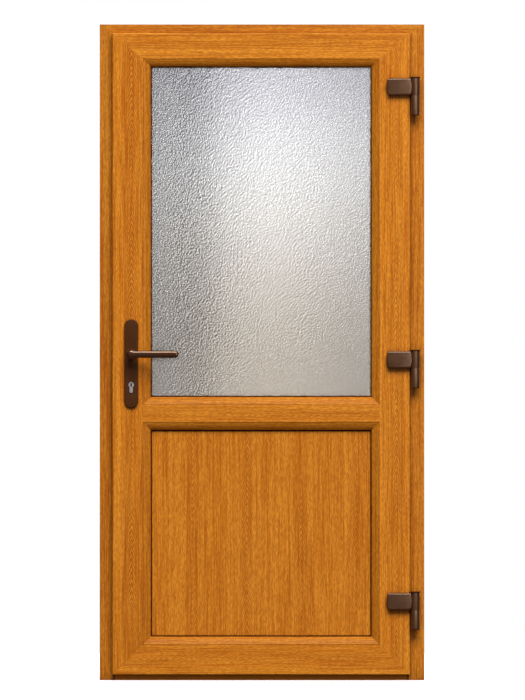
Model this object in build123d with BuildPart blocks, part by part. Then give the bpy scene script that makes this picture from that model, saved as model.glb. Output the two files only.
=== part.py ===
from build123d import *
import math
import os

os.makedirs("parts", exist_ok=True)

# Half-glazed exterior door in its frame, in millimetres. X runs along the wall from the lock side to
# the hinge side, Y runs from the room to the outside, Z is up. The origin is on the underside of the
# threshold, in the middle of the frame's width and depth. The leaf opens towards -Y.

# Outer frame
frame_width = 980.0
frame_height = 1980.0
frame_depth = 70.0
lock_margin = 38.5  # frame face that shows beside the leaf, lock side
hinge_margin = 43.5  # the same, hinge side
head_margin = 26.5  # the same, above the leaf
sill_margin = 16.5  # height of the leaf's lower edge above the floor
leaf_overlap = 8.0  # how far the leaf's flange covers the frame
stop_height = 22.0  # how far the stop stands in from the rebate
frame_edge_radius = 3.0
corner_run = 4.0  # length of the true 45 degree cut beside the rebate

# Leaf
leaf_depth = 70.0
flange_thickness = 20.0
rebate_gap = 12.0  # air gap between the leaf's edge and the frame
seal_gap = 3.0  # gap that the seals close in front of the frame and behind the leaf
stile_face = 92.0
top_rail_face = 77.0
mid_rail_face = 52.0
mid_rail_height = 779.5  # lower edge of the mid rail's flat face
bottom_rail_face = 91.5
leaf_edge_radius = 3.5
inner_edge_radius = 1.0

# Glazing: the stack from the room side is bead, gasket, unit or panel, gasket, fixed leg of the leaf
bead_face = 23.5
bead_depth = 20.0
bead_recess = 1.2  # how far the bead's outer edge lies behind the leaf's face
bead_lip = 4.5  # how much of the bead's depth is left beside the gasket
bead_slope = 14.0  # degrees the bead falls at its outer edge, growing towards the glass
bead_foot = 4.0  # foot that clips into the leaf's groove
bead_foot_inset = 7.0  # from the leaf's front face to the foot
groove_clearance = 0.5
gasket_lip = 3.5
gasket_seat = 11.0
gasket_thickness = 3.0
unit_thickness = 24.0
pane_thickness = 4.0
unit_clearance = 5.0  # between the unit's edge and the rebate
spacer_width = 12.0

# Seals between leaf and frame
seal_width = 6.0
seal_inset = 1.5
seal_air = 0.3  # what is left open beside each seal at rest

# Threshold
threshold_ridge = 8.5  # height of its ridge above its flat top
threshold_ridge_width = 9.0
threshold_ridge_foot = 7.0
threshold_back_height = 16.0
threshold_edge_radius = 2.0
threshold_rib_depth = 1.2
threshold_rib_width = 3.0
threshold_rib_count = 3
threshold_rib_pitch = 8.0

# Hinges
bottom_hinge_rise = 196.0  # from the leaf's lower edge to the line between the knuckles
middle_hinge_drop = 43.0  # the same line, down from the leaf's middle
top_hinge_drop = 188.0  # the same, down from the leaf's upper edge
hinge_axis_out = 15.5  # from the leaf's edge to the hinge axis, along the wall
hinge_axis_front = 6.0  # from the leaf's front face to the hinge axis
upper_knuckle_radius = 14.0
upper_knuckle_height = 56.0
lower_knuckle_radius = 13.5
lower_knuckle_height = 61.0
knuckle_air = 0.3  # half of the running gap between the two knuckles
pin_radius = 6.0
pin_clearance = 0.05
pin_end_wall = 6.0
knuckle_end_chamfer = 2.5
cap_radius = 16.5
cap_height = 3.0
hinge_plate_length = 58.0
hinge_plate_height = 44.0
hinge_plate_thickness = 4.0
hinge_arm_thickness = 10.0
cover_length = 78.0
cover_height = 51.0
cover_depth = 18.5
cover_wall = 2.5
cover_end_bulge = 5.0
cover_edge_radius = 3.0
cover_overrun = 7.0  # how far the cover runs past the leaf's edge
bracket_foot_width = 20.0
bracket_foot_thickness = 3.0
bracket_neck_width = 12.0
bracket_neck_height = 46.0

# Lock and handle
spindle_inset = 57.0  # from the leaf's lock edge to the spindle
spindle_height = 984.0
cylinder_drop = 92.0  # from the spindle to the cylinder
handle_plate_width = 41.0
handle_plate_height = 266.0
handle_plate_thickness = 9.0
handle_plate_rise = 104.5  # from the spindle up to the plate's top
handle_plate_corner = 19.0
handle_plate_edge = 2.0
collar_radius = 17.0
collar_height = 3.0
neck_radius = 10.0
neck_base_radius = 13.0
neck_waist_radius = 9.5
heel_radius = 13.5
handle_projection = 58.0  # from the leaf's face to the front of the lever
lever_length = 142.5  # from the spindle to the tip
lever_height = 22.5
lever_thickness = 13.0
lever_round = 6.0  # corners of the lever's cross-section
lever_tip_corner = 9.0
lever_tip_round = 8.5  # end of the lever, seen from above
lever_tip_width = 17.2  # the same end before it is cut to the lever's thickness
heel_chamfer = 2.0
spindle_side = 8.0
spindle_socket = 25.0
spindle_end_gap = 1.0  # left in the bottom of each lever's socket
spindle_chamfer = 0.8
spindle_bore_radius = 7.0
cylinder_radius = 8.5
cylinder_height = 33.0
cylinder_web = 10.0
cylinder_stand = 3.0  # how far the cylinder stands out of the handle plate
cylinder_clearance = 0.3
plug_radius = 6.5
plug_length = 28.0
plug_clearance = 0.05
keyway_width = 2.6
keyway_height = 8.6
keyway_depth = 24.0
faceplate_width = 16.0
faceplate_thickness = 3.0
faceplate_margin = 100.0  # from the faceplate's ends to the ends of the leaf's body
hardware_line = 22.0  # from the back of the flange to the middle of the hardware groove
latch_rise = 34.0
latch_height = 30.0
bolt_drop = 70.0
bolt_height = 38.0
bolt_width = 10.0
bolt_depth = 12.0
strike_length = 220.0
strike_width = 22.0
strike_thickness = 3.0
strike_corner = 5.0

# Places worked out from the sizes above
frame_front = -frame_depth / 2
frame_back = frame_depth / 2
leaf_left = -frame_width / 2 + lock_margin
leaf_right = frame_width / 2 - hinge_margin
leaf_bottom = sill_margin
leaf_top = frame_height - head_margin
leaf_front = frame_front - seal_gap - flange_thickness
leaf_back = leaf_front + leaf_depth
stop_front = leaf_back + seal_gap
body_inset = leaf_overlap + rebate_gap
sight_lip = bead_face + gasket_lip
leg_front = bead_depth + 2 * gasket_thickness + unit_thickness
threshold_height = sill_margin + leaf_overlap
hinge_x = leaf_right + hinge_axis_out
hinge_y = leaf_front - hinge_axis_front
spindle_x = leaf_left + spindle_inset
cylinder_z = spindle_height - cylinder_drop
plate_top = spindle_height + handle_plate_rise
plate_middle = plate_top - handle_plate_height / 2
hardware_y = leaf_front + flange_thickness + hardware_line
leaf_middle_height = (leaf_bottom + leaf_top) / 2
faceplate_length = leaf_top - leaf_bottom - 2 * (body_inset + faceplate_margin)
hinge_splits = {
    "bottom": leaf_bottom + bottom_hinge_rise,
    "middle": leaf_middle_height - middle_hinge_drop,
    "top": leaf_top - top_hinge_drop,
}
past_everything = frame_width  # a cutting depth that is always enough


def write(part, name):
    part.label = name
    export_step(part, f"parts/{name}.step")


class Field:
    """A rectangle on the elevation: the edges of a glazed or panelled opening."""

    def __init__(self, left, right, bottom, top):
        self.left, self.right, self.bottom, self.top = left, right, bottom, top

    def grown(self, by):
        return Field(self.left - by, self.right + by, self.bottom - by, self.top + by)

    def corners(self):
        return [
            (self.left, self.bottom),
            (self.left, self.top),
            (self.right, self.top),
            (self.right, self.bottom),
        ]

    def centre(self):
        return ((self.left + self.right) / 2, (self.bottom + self.top) / 2)

    def size(self):
        return (self.right - self.left, self.top - self.bottom)


leaf_field = Field(leaf_left, leaf_right, leaf_bottom, leaf_top)
rebate_left = leaf_left + stile_face
rebate_right = leaf_right - stile_face
glass_field = Field(rebate_left, rebate_right, mid_rail_height + mid_rail_face, leaf_top - top_rail_face)
panel_field = Field(rebate_left, rebate_right, leaf_bottom + bottom_rail_face, mid_rail_height)
inner_field = Field(rebate_left, rebate_right, panel_field.bottom, glass_field.top)


# Sections. Each is drawn with its first axis pointing in from the member's outer edge, and its second
# pointing back from the member's front face.
def draw_frame_section(face):
    depth_to_stop = stop_front - frame_front
    with BuildLine() as outline:
        Polyline(
            (0, 0),
            (face, 0),
            (face, depth_to_stop),
            (face + stop_height, depth_to_stop),
            (face + stop_height, frame_depth),
            (0, frame_depth),
            close=True,
        )
    section = make_face(outline.edges())
    front = section.vertices().group_by(Axis.Y)[0].sort_by(Axis.X)
    fillet(front[-1], frame_edge_radius)


def draw_leaf_section(face):
    groove_top = bead_foot_inset - groove_clearance
    groove_end = bead_foot_inset + bead_foot + groove_clearance
    groove_floor = face - bead_foot - groove_clearance
    with BuildLine() as outline:
        Polyline(
            (0, 0),
            (face, 0),
            (face, groove_top),
            (groove_floor, groove_top),
            (groove_floor, groove_end),
            (face, groove_end),
            (face, leg_front),
            (face + sight_lip, leg_front),
            (face + sight_lip, leaf_depth),
            (body_inset, leaf_depth),
            (body_inset, flange_thickness),
            (0, flange_thickness),
            close=True,
        )
    section = make_face(outline.edges())
    front = section.vertices().group_by(Axis.Y)[0].sort_by(Axis.X)
    fillet(front[0], leaf_edge_radius)
    fillet(front[-1], inner_edge_radius)


def draw_mid_rail_section():
    groove_top = bead_foot_inset - groove_clearance
    groove_end = bead_foot_inset + bead_foot + groove_clearance
    groove_depth = bead_foot + groove_clearance
    with BuildLine() as outline:
        Polyline(
            (0, 0),
            (mid_rail_face / 2, 0),
            (mid_rail_face / 2, groove_top),
            (mid_rail_face / 2 - groove_depth, groove_top),
            (mid_rail_face / 2 - groove_depth, groove_end),
            (mid_rail_face / 2, groove_end),
            (mid_rail_face / 2, leg_front),
            (mid_rail_face / 2 + sight_lip, leg_front),
            (mid_rail_face / 2 + sight_lip, leaf_depth),
            (0, leaf_depth),
        )
        mirror(outline.line, about=Plane.YZ)
    section = make_face(outline.edges())
    fillet(section.vertices().group_by(Axis.Y)[0], inner_edge_radius)


def draw_bead_section(edge):
    outer_corner = (edge, bead_recess)
    lip_corner = (edge + bead_face, bead_depth - bead_lip)
    slope = math.radians(bead_slope)
    with BuildLine() as outline:
        Polyline(
            outer_corner,
            (edge, bead_foot_inset),
            (edge - bead_foot, bead_foot_inset),
            (edge - bead_foot, bead_foot_inset + bead_foot),
            (edge, bead_foot_inset + bead_foot),
            (edge, bead_depth),
            (edge + bead_face, bead_depth),
            lip_corner,
        )
        TangentArc(outer_corner, lip_corner, tangent=(math.cos(slope), math.sin(slope)))
    section = make_face(outline.edges())
    fillet(section.vertices().group_by(Axis.Y)[0], inner_edge_radius)


# Where a member starts and which way it runs, going round clockwise from the lower lock corner
def member_plane(side, field, front):
    starts = {
        "lock": ((field.left, front, field.bottom), (1, 0, 0), (0, 0, 1)),
        "head": ((field.left, front, field.top), (0, 0, -1), (1, 0, 0)),
        "hinge": ((field.right, front, field.top), (-1, 0, 0), (0, 0, -1)),
        "foot": ((field.right, front, field.bottom), (0, 0, 1), (-1, 0, 0)),
    }
    origin, inward, along = starts[side]
    return Plane(origin=origin, x_dir=inward, z_dir=along)


def member_length(side, field):
    return field.size()[1] if side in ("lock", "hinge") else field.size()[0]


def mitre_outline(side, *fields):
    """The member's outline on the elevation: its two mitres run through the corners of the fields."""
    first = {"lock": 0, "head": 1, "hinge": 2, "foot": 3}[side]
    start = [field.corners()[first] for field in fields]
    end = [field.corners()[(first + 1) % 4] for field in fields]
    return start + end[::-1]


def cut_to_outline(outline):
    with BuildSketch(Plane.XZ) as elevation:
        Polygon(*outline, align=None)
    extrude(elevation.sketch, amount=past_everything, both=True, mode=Mode.INTERSECT)


# Outer frame: two jambs and a head, mitred at the top, and the threshold between the jambs
frame_field = Field(-frame_width / 2, frame_width / 2, 0, frame_height)
frame_faces = {"lock": lock_margin, "head": head_margin, "hinge": hinge_margin}
rebate_field = Field(
    frame_field.left + lock_margin + leaf_overlap,
    frame_field.right - hinge_margin - leaf_overlap,
    0,
    frame_height - head_margin - leaf_overlap,
)
stop_field = Field(
    rebate_field.left + stop_height, rebate_field.right - stop_height, 0, rebate_field.top - stop_height
)

strike_middle = spindle_height - (bolt_drop - latch_rise) / 2


def draw_keeper_holes(mode=Mode.ADD):
    with Locations((hardware_y, spindle_height + latch_rise)):
        Rectangle(bolt_width, latch_height, mode=mode)
    with Locations((hardware_y, spindle_height - bolt_drop)):
        Rectangle(bolt_width, bolt_height, mode=mode)


for side, name in (("lock", "frame_lock_jamb"), ("head", "frame_head"), ("hinge", "frame_hinge_jamb")):
    with BuildPart() as frame_member:
        with BuildSketch(member_plane(side, frame_field, frame_front)):
            draw_frame_section(frame_faces[side] + leaf_overlap)
        extrude(amount=member_length(side, frame_field))
        outer_field = rebate_field.grown(corner_run)
        cut_to_outline(mitre_outline(side, frame_field, outer_field, rebate_field, stop_field))
        if side == "lock":
            with BuildSketch(Plane.YZ.offset(rebate_field.left)):
                with Locations((hardware_y, strike_middle)):
                    RectangleRounded(strike_width, strike_length, strike_corner)
            extrude(amount=-strike_thickness, mode=Mode.SUBTRACT)
            with BuildSketch(Plane.YZ.offset(rebate_field.left)):
                draw_keeper_holes()
            extrude(amount=-strike_thickness - bolt_depth, mode=Mode.SUBTRACT)
    write(frame_member.part, name)

with BuildPart() as strike_plate:
    with BuildSketch(Plane.YZ.offset(rebate_field.left)):
        with Locations((hardware_y, strike_middle)):
            RectangleRounded(strike_width, strike_length, strike_corner)
        draw_keeper_holes(Mode.SUBTRACT)
    extrude(amount=-strike_thickness)
write(strike_plate.part, "strike_plate")

with BuildPart() as threshold:
    with BuildSketch(Plane.YZ.offset(rebate_field.left)):
        with BuildLine():
            Polyline(
                (frame_front, 0),
                (frame_front, threshold_height),
                (stop_front - threshold_ridge_foot, threshold_height),
                (stop_front, threshold_height + threshold_ridge),
                (stop_front + threshold_ridge_width, threshold_height + threshold_ridge),
                (frame_back, threshold_back_height),
                (frame_back, 0),
                close=True,
            )
        threshold_section = make_face()
        fillet(threshold_section.vertices().group_by(Axis.Y)[-1], threshold_edge_radius)
        front_top = threshold_section.vertices().group_by(Axis.X)[0].sort_by(Axis.Y)[-1]
        fillet(front_top, threshold_edge_radius)
        with Locations(((frame_front + stop_front) / 2, threshold_height)):
            with GridLocations(threshold_rib_pitch, 0, threshold_rib_count, 1):
                Rectangle(threshold_rib_width, 2 * threshold_rib_depth, mode=Mode.SUBTRACT)
    extrude(amount=rebate_field.size()[0])
    with BuildSketch(Plane.XY):
        for stop_x in (rebate_field.left, rebate_field.right):
            with Locations((stop_x, (stop_front + frame_back) / 2)):
                Rectangle(2 * stop_height, frame_back - stop_front)
    extrude(amount=frame_height, mode=Mode.SUBTRACT)
write(threshold.part, "threshold")

# Leaf: two stiles and two rails, mitred at the corners, and the mid rail between the stiles
leaf_members = {
    "lock": (stile_face, "leaf_lock_stile"),
    "head": (top_rail_face, "leaf_top_rail"),
    "hinge": (stile_face, "leaf_hinge_stile"),
    "foot": (bottom_rail_face, "leaf_bottom_rail"),
}
body_left = leaf_left + body_inset
leaf_corner_run = body_inset + leaf_edge_radius


def draw_cylinder_outline(clearance=0.0):
    foot_drop = cylinder_height - cylinder_radius - cylinder_web / 2
    Circle(cylinder_radius + clearance)
    with Locations((0, -foot_drop / 2)):
        Rectangle(cylinder_web + 2 * clearance, foot_drop)
    with Locations((0, -foot_drop)):
        Circle(cylinder_web / 2 + clearance)


for side, (face, name) in leaf_members.items():
    with BuildPart() as leaf_member:
        with BuildSketch(member_plane(side, leaf_field, leaf_front)):
            draw_leaf_section(face)
        extrude(amount=member_length(side, leaf_field))
        cut_to_outline(
            mitre_outline(
                side,
                leaf_field,
                leaf_field.grown(-leaf_corner_run),
                inner_field,
                inner_field.grown(-sight_lip),
            )
        )
        if side == "lock":
            with BuildSketch(Plane.XZ):
                with Locations((spindle_x, spindle_height)):
                    Circle(spindle_bore_radius)
                with Locations((spindle_x, cylinder_z)):
                    draw_cylinder_outline(cylinder_clearance)
            extrude(amount=past_everything, both=True, mode=Mode.SUBTRACT)
            with BuildSketch(Plane.YZ.offset(body_left)):
                with Locations((hardware_y, leaf_middle_height)):
                    SlotOverall(faceplate_length, faceplate_width, rotation=90)
            extrude(amount=faceplate_thickness, mode=Mode.SUBTRACT)
            with BuildSketch(Plane.YZ.offset(body_left)):
                draw_keeper_holes()
            extrude(amount=bolt_depth, mode=Mode.SUBTRACT)
    write(leaf_member.part, name)

with BuildPart() as mid_rail:
    rail_middle = mid_rail_height + mid_rail_face / 2
    rail_plane = Plane(origin=(rebate_left, leaf_front, rail_middle), x_dir=(0, 0, 1), z_dir=(-1, 0, 0))
    with BuildSketch(rail_plane):
        draw_mid_rail_section()
    extrude(amount=-(rebate_right - rebate_left))
    with BuildSketch(Plane.XY):
        for end_x in (rebate_left, rebate_right):
            with Locations((end_x, leaf_front + (leg_front + leaf_depth) / 2)):
                Rectangle(2 * sight_lip, leaf_depth - leg_front)
    extrude(amount=frame_height, mode=Mode.SUBTRACT)
write(mid_rail.part, "leaf_mid_rail")


# Seals: one round the leaf's flange, one on the frame's stop above the threshold
def draw_ring(outer, inner):
    with Locations(outer.centre()):
        Rectangle(*outer.size())
    with Locations(inner.centre()):
        Rectangle(*inner.size(), mode=Mode.SUBTRACT)


with BuildPart() as leaf_seal:
    with BuildSketch(Plane.XZ.offset(-(leaf_front + flange_thickness))):
        draw_ring(leaf_field.grown(-seal_inset), leaf_field.grown(-seal_inset - seal_width))
    extrude(amount=-(seal_gap - seal_air))
write(leaf_seal.part, "leaf_seal")

with BuildPart() as frame_seal:
    seal_middle = stop_field.grown((stop_height - rebate_gap) / 2)
    seal_foot = threshold_height + threshold_ridge
    with BuildSketch(Plane.XZ.offset(-stop_front)):
        draw_ring(seal_middle.grown(seal_width / 2), seal_middle.grown(-seal_width / 2))
        Rectangle(frame_width, 2 * seal_foot, mode=Mode.SUBTRACT)
    extrude(amount=seal_gap - seal_air)
write(frame_seal.part, "frame_seal")

# Glazing: beads on the room side, a gasket on each face of the glass unit and of the panel
bead_places = {"lock": "lock", "head": "top", "hinge": "hinge", "foot": "bottom"}
for field, kind in ((glass_field, "glass"), (panel_field, "panel")):
    foot_field = field.grown(bead_foot)
    for side, place in bead_places.items():
        with BuildPart() as bead:
            with BuildSketch(member_plane(side, foot_field, leaf_front)):
                draw_bead_section(bead_foot)
            extrude(amount=member_length(side, foot_field))
            cut_to_outline(mitre_outline(side, foot_field, field.grown(-bead_face)))
        write(bead.part, f"{kind}_bead_{place}")

    seat = field.grown(gasket_seat - sight_lip)
    sight = field.grown(-sight_lip)
    for place, depth in (("room", bead_depth), ("outer", leg_front - gasket_thickness)):
        with BuildPart() as gasket:
            with BuildSketch(Plane.XZ.offset(-(leaf_front + depth))):
                draw_ring(seat, sight)
            extrude(amount=-gasket_thickness)
        write(gasket.part, f"{kind}_gasket_{place}")

unit_front = leaf_front + bead_depth + gasket_thickness
unit_field = glass_field.grown(-unit_clearance)
for name, depth in (("glass_pane_room", 0.0), ("glass_pane_outer", unit_thickness - pane_thickness)):
    with BuildPart() as pane:
        with BuildSketch(Plane.XZ.offset(-(unit_front + depth))):
            with Locations(unit_field.centre()):
                Rectangle(*unit_field.size())
        extrude(amount=-pane_thickness)
    write(pane.part, name)

with BuildPart() as spacer:
    with BuildSketch(Plane.XZ.offset(-(unit_front + pane_thickness))):
        draw_ring(unit_field, unit_field.grown(-spacer_width))
    extrude(amount=-(unit_thickness - 2 * pane_thickness))
write(spacer.part, "glass_spacer")

with BuildPart() as lower_panel:
    board_field = panel_field.grown(-unit_clearance)
    with BuildSketch(Plane.XZ.offset(-unit_front)):
        with Locations(board_field.centre()):
            Rectangle(*board_field.size())
    extrude(amount=-unit_thickness)
write(lower_panel.part, "lower_panel")

# Hinges: the knuckle with the pin stands on the frame, the other knuckle hangs on the leaf
hinge_axis = Axis((hinge_x, hinge_y, 0), (0, 0, 1))
hinge_section = Plane(origin=(hinge_x, hinge_y, 0), x_dir=(1, 0, 0), z_dir=(0, -1, 0))
cover_right = leaf_right + cover_overrun
cover_left = cover_right - cover_length

for place, split in hinge_splits.items():
    knuckle_foot = split - lower_knuckle_height
    knuckle_head = split + upper_knuckle_height
    pin_bore = pin_radius + pin_clearance
    bore_end = knuckle_head - pin_end_wall

    with BuildPart() as frame_hinge:
        with BuildSketch(hinge_section):
            with BuildLine():
                Polyline(
                    (0, knuckle_foot),
                    (lower_knuckle_radius - knuckle_end_chamfer, knuckle_foot),
                    (lower_knuckle_radius, knuckle_foot + knuckle_end_chamfer),
                    (lower_knuckle_radius, split - knuckle_air),
                    (pin_radius, split - knuckle_air),
                    (pin_radius, bore_end - knuckle_air),
                    (0, bore_end - knuckle_air),
                    close=True,
                )
            make_face()
        revolve(axis=hinge_axis)
        with BuildSketch(Plane.XY.offset(split - lower_knuckle_height / 2)):
            with Locations((hinge_x, (hinge_y + frame_front) / 2)):
                Rectangle(bracket_neck_width, frame_front - hinge_y)
            with Locations((hinge_x, frame_front - bracket_foot_thickness / 2)):
                Rectangle(bracket_foot_width, bracket_foot_thickness)
        extrude(amount=bracket_neck_height / 2, both=True)
    write(frame_hinge.part, f"hinge_{place}_frame_side")

    cover_foot = split + knuckle_air
    cover_head = cover_foot + cover_height
    cover_middle = (cover_foot + cover_head) / 2
    arm_start = leaf_right - hinge_arm_thickness
    arm_end = hinge_x - (upper_knuckle_radius + pin_radius) / 2
    with BuildPart() as leaf_hinge:
        with BuildSketch(hinge_section):
            with BuildLine():
                Polyline(
                    (pin_bore, cover_foot),
                    (upper_knuckle_radius, cover_foot),
                    (upper_knuckle_radius, knuckle_head - cap_height),
                    (cap_radius, knuckle_head - cap_height),
                    (cap_radius, knuckle_head),
                    (0, knuckle_head),
                    (0, bore_end),
                    (pin_bore, bore_end),
                    close=True,
                )
            make_face()
        revolve(axis=hinge_axis)
        with BuildSketch(Plane.XY.offset(cover_middle)):
            with Locations((leaf_right - hinge_plate_length / 2, leaf_front - hinge_plate_thickness / 2)):
                Rectangle(hinge_plate_length, hinge_plate_thickness)
            with Locations(((arm_start + arm_end) / 2, leaf_front - hinge_arm_thickness / 2)):
                Rectangle(arm_end - arm_start, hinge_arm_thickness)
        extrude(amount=hinge_plate_height / 2, both=True)
    write(leaf_hinge.part, f"hinge_{place}_leaf_side")

    with BuildPart() as cover:
        with BuildSketch(Plane.YZ.offset(cover_left)) as cover_section:
            with Locations((leaf_front - cover_depth / 2, cover_middle)):
                Rectangle(cover_depth, cover_height)
            fillet(cover_section.vertices().group_by(Axis.X)[0], cover_edge_radius)
        extrude(amount=cover_length)
        with BuildSketch(Plane.XZ):
            with BuildLine():
                Line((cover_left + cover_end_bulge, cover_foot), (cover_right - cover_end_bulge, cover_foot))
                ThreePointArc(
                    (cover_right - cover_end_bulge, cover_foot),
                    (cover_right, cover_middle),
                    (cover_right - cover_end_bulge, cover_head),
                )
                Line((cover_right - cover_end_bulge, cover_head), (cover_left + cover_end_bulge, cover_head))
                ThreePointArc(
                    (cover_left + cover_end_bulge, cover_head),
                    (cover_left, cover_middle),
                    (cover_left + cover_end_bulge, cover_foot),
                )
            make_face()
        extrude(amount=past_everything, both=True, mode=Mode.INTERSECT)
        hollow_left = cover_left + cover_end_bulge + cover_wall
        with BuildSketch(Plane.XY.offset(cover_middle)):
            with Locations(((hollow_left + hinge_x) / 2, leaf_front)):
                Rectangle(hinge_x - hollow_left, 2 * (cover_depth - cover_wall))
        extrude(amount=cover_height / 2 - cover_wall, both=True, mode=Mode.SUBTRACT)
        with BuildSketch(Plane.XY.offset(cover_middle)):
            with Locations((hinge_x, hinge_y)):
                Circle(upper_knuckle_radius + seal_air)
        extrude(amount=cover_height, both=True, mode=Mode.SUBTRACT)
    write(cover.part, f"hinge_{place}_cover")

# Lock: the long faceplate in the stile's edge with latch and bolt drawn in flush, and the cylinder
with BuildPart() as faceplate:
    with BuildSketch(Plane.YZ.offset(body_left)):
        with Locations((hardware_y, leaf_middle_height)):
            SlotOverall(faceplate_length, faceplate_width, rotation=90)
        draw_keeper_holes(Mode.SUBTRACT)
    extrude(amount=faceplate_thickness)
write(faceplate.part, "lock_faceplate")

for name, height, tall in (
    ("lock_latch", spindle_height + latch_rise, latch_height),
    ("lock_bolt", spindle_height - bolt_drop, bolt_height),
):
    with BuildPart() as lock_piece:
        with BuildSketch(Plane.YZ.offset(body_left)):
            with Locations((hardware_y, height)):
                Rectangle(bolt_width, tall)
        extrude(amount=bolt_depth)
    write(lock_piece.part, name)

cylinder_front = leaf_front - handle_plate_thickness - cylinder_stand
cylinder_back = leaf_back + handle_plate_thickness + cylinder_stand
with BuildPart() as cylinder:
    with BuildSketch(Plane.XZ.offset(-cylinder_front)):
        with Locations((spindle_x, cylinder_z)):
            draw_cylinder_outline()
    extrude(amount=-(cylinder_back - cylinder_front))
    with BuildSketch(Plane.XZ.offset(-cylinder_front)):
        with Locations((spindle_x, cylinder_z)):
            Circle(plug_radius + plug_clearance)
    extrude(amount=-plug_length - plug_clearance, mode=Mode.SUBTRACT)
    with BuildSketch(Plane.XZ.offset(-cylinder_back)):
        with Locations((spindle_x, cylinder_z)):
            SlotOverall(keyway_height, keyway_width, rotation=90)
    extrude(amount=keyway_depth, mode=Mode.SUBTRACT)
write(cylinder.part, "lock_cylinder")

with BuildPart() as key_plug:
    with BuildSketch(Plane.XZ.offset(-cylinder_front)):
        with Locations((spindle_x, cylinder_z)):
            Circle(plug_radius)
    extrude(amount=-plug_length)
    with BuildSketch(Plane.XZ.offset(-cylinder_front)):
        with Locations((spindle_x, cylinder_z)):
            SlotOverall(keyway_height, keyway_width, rotation=90)
    extrude(amount=-keyway_depth, mode=Mode.SUBTRACT)
write(key_plug.part, "key_plug")

# Handle: a long plate and a lever on each face of the leaf, joined by one square spindle
leaf_middle = (leaf_front + leaf_back) / 2
plate_front = leaf_front - handle_plate_thickness
spindle_axis = Axis((spindle_x, 0, spindle_height), (0, 1, 0))
spindle_section = Plane(origin=(spindle_x, 0, spindle_height), x_dir=(1, 0, 0), z_dir=(0, 0, 1))

with BuildPart() as handle_plate:
    with BuildSketch(Plane.XZ.offset(-leaf_front)):
        with Locations((spindle_x, plate_middle)):
            RectangleRounded(handle_plate_width, handle_plate_height, handle_plate_corner)
    extrude(amount=handle_plate_thickness)
    chamfer(handle_plate.faces().sort_by(Axis.Y)[0].edges(), handle_plate_edge)
    with BuildSketch(spindle_section):
        with BuildLine():
            Polyline(
                (0, leaf_front),
                (collar_radius, leaf_front),
                (collar_radius, plate_front),
                (collar_radius - collar_height, plate_front - collar_height),
                (0, plate_front - collar_height),
                close=True,
            )
        make_face()
    revolve(axis=spindle_axis)
    with BuildSketch(Plane.XZ.offset(-leaf_front)):
        with Locations((spindle_x, spindle_height)):
            Circle(neck_radius + plug_clearance)
        with Locations((spindle_x, cylinder_z)):
            draw_cylinder_outline(cylinder_clearance)
    extrude(amount=past_everything, mode=Mode.SUBTRACT)
write(handle_plate.part, "handle_plate_room")

with BuildPart() as handle_plate_outer:
    mirror(handle_plate.part, about=Plane.XZ.offset(-leaf_middle))
write(handle_plate_outer.part, "handle_plate_outer")

lever_front = leaf_front - handle_projection
lever_back = lever_front + lever_thickness
lever_middle = (lever_front + lever_back) / 2
lever_tip = spindle_x + lever_length
neck_start = plate_front - collar_height - knuckle_air

with BuildPart() as lever_room:
    with BuildSketch(Plane.YZ.offset(spindle_x)):
        with Locations((lever_middle, spindle_height)):
            RectangleRounded(lever_thickness, lever_height, lever_round)
    extrude(amount=lever_length)
    with BuildSketch(Plane.XZ.offset(-lever_front)) as tip_front:
        with Locations((lever_tip - lever_length, spindle_height)):
            Rectangle(2 * lever_length, lever_height)
        fillet(tip_front.vertices().group_by(Axis.X)[-1], lever_tip_corner)
    extrude(amount=-lever_thickness, mode=Mode.INTERSECT)
    with BuildSketch(Plane.XY.offset(spindle_height - lever_height)) as tip_above:
        with Locations((lever_tip - lever_length, lever_middle)):
            Rectangle(2 * lever_length, lever_tip_width)
        fillet(tip_above.vertices().group_by(Axis.X)[-1], lever_tip_round)
    extrude(amount=2 * lever_height, mode=Mode.INTERSECT)
    with BuildSketch(spindle_section):
        with BuildLine():
            Polyline(
                (0, leaf_front),
                (neck_radius, leaf_front),
                (neck_radius, neck_start),
                (neck_base_radius, neck_start),
                (neck_waist_radius, lever_back),
                (heel_radius, lever_back),
                (heel_radius, lever_front + heel_chamfer),
                (heel_radius - heel_chamfer, lever_front),
                (0, lever_front),
                close=True,
            )
        make_face()
    revolve(axis=spindle_axis)
    with BuildSketch(Plane.XZ.offset(-leaf_front)):
        with Locations((spindle_x, spindle_height)):
            Rectangle(spindle_side + 2 * plug_clearance, spindle_side + 2 * plug_clearance)
    extrude(amount=spindle_socket, mode=Mode.SUBTRACT)
write(lever_room.part, "lever_room")

with BuildPart() as lever_outer:
    mirror(lever_room.part, about=Plane.XZ.offset(-leaf_middle))
write(lever_outer.part, "lever_outer")

with BuildPart() as spindle:
    with BuildSketch(Plane.XZ.offset(-leaf_middle)):
        with Locations((spindle_x, spindle_height)):
            Rectangle(spindle_side, spindle_side)
    extrude(amount=leaf_depth / 2 + spindle_socket - spindle_end_gap, both=True)
    spindle_ends = spindle.faces().sort_by(Axis.Y)[0].edges() + spindle.faces().sort_by(Axis.Y)[-1].edges()
    chamfer(spindle_ends, spindle_chamfer)
write(spindle.part, "spindle")
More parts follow.
